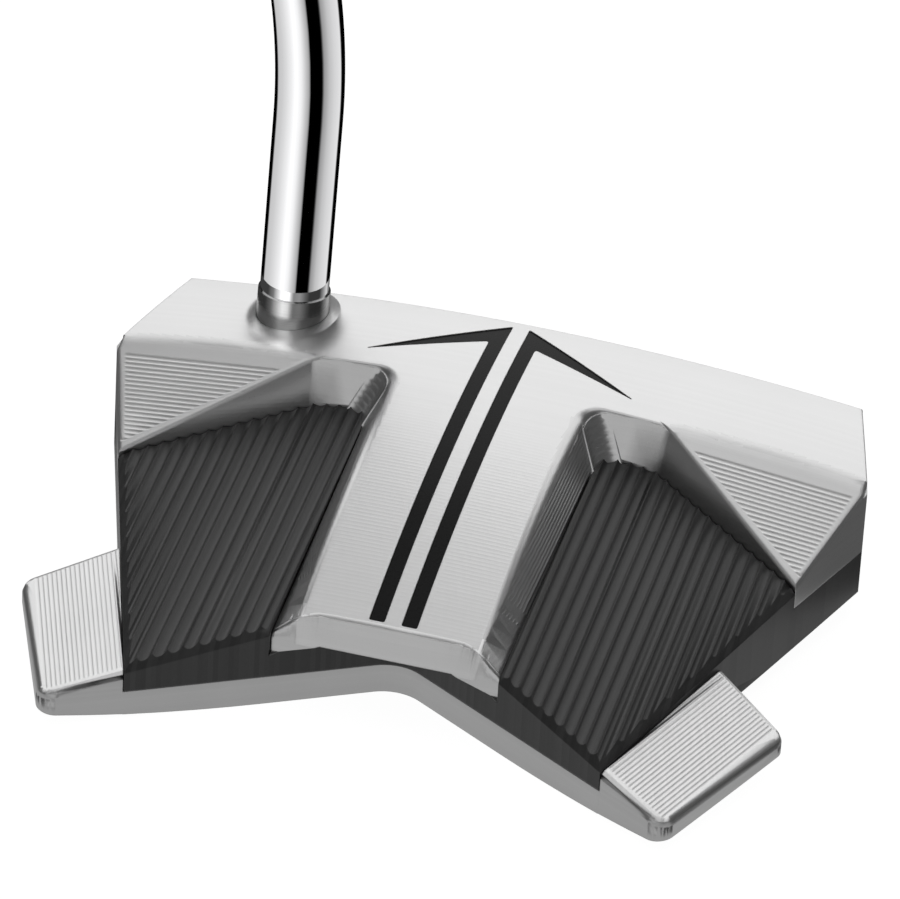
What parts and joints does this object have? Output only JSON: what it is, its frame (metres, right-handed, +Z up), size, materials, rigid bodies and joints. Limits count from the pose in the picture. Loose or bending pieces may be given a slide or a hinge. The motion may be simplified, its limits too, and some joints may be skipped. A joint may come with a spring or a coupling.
{
  "type": "mallet putter",
  "caption": "Right-handed mallet putter: layered metal head with open wings, alignment arrow and rear feet, on a bent chromed shaft with a rubber grip.",
  "frame": {"origin": "middle of the flat in the sole, under the top edge of the face, with the head soled flat", "axes": "+X from heel to toe, +Y the way the ball leaves the face, +Z up"},
  "size_m": [0.3664, 0.0924, 0.8166],
  "materials": {
    "clear_aluminium": "bead blasted and clear anodised, milled accents, bright bevels",
    "black_aluminium": "black anodised, satin",
    "stainless": "satin stainless steel",
    "weight_steel": "turned stainless steel",
    "screw_steel": "black oxide",
    "pin_steel": "ground",
    "fibre": "washer",
    "adhesive": "cured epoxy",
    "black_paint": "enamel fill",
    "chrome_steel": "polished chrome plate",
    "tape": "double-sided tape",
    "grip_rubber": "moulded, fine texture",
    "cap_rubber": "moulded, smooth"
  },
  "bodies": {
    "root": {"upper_body": "clear_aluminium", "mid_body": "black_aluminium", "sole_plate": "stainless", "upper_bond_film": "adhesive", "sole_bond_film": "adhesive", "bridge_screws": "screw_steel", "wing_screws": "screw_steel", "rear_screws": "screw_steel", "dowel_pins": "pin_steel", "toe_weight": "weight_steel", "heel_weight": "weight_steel", "weight_washers": "fibre", "toe_line_paint": "black_paint", "heel_line_paint": "black_paint", "hosel_post": "stainless", "hosel_bond": "adhesive", "shaft_bond": "adhesive", "shaft": "chrome_steel", "grip_tape": "tape", "grip": "grip_rubber", "grip_cap": "cap_rubber"}
  },
  "joints": []
}
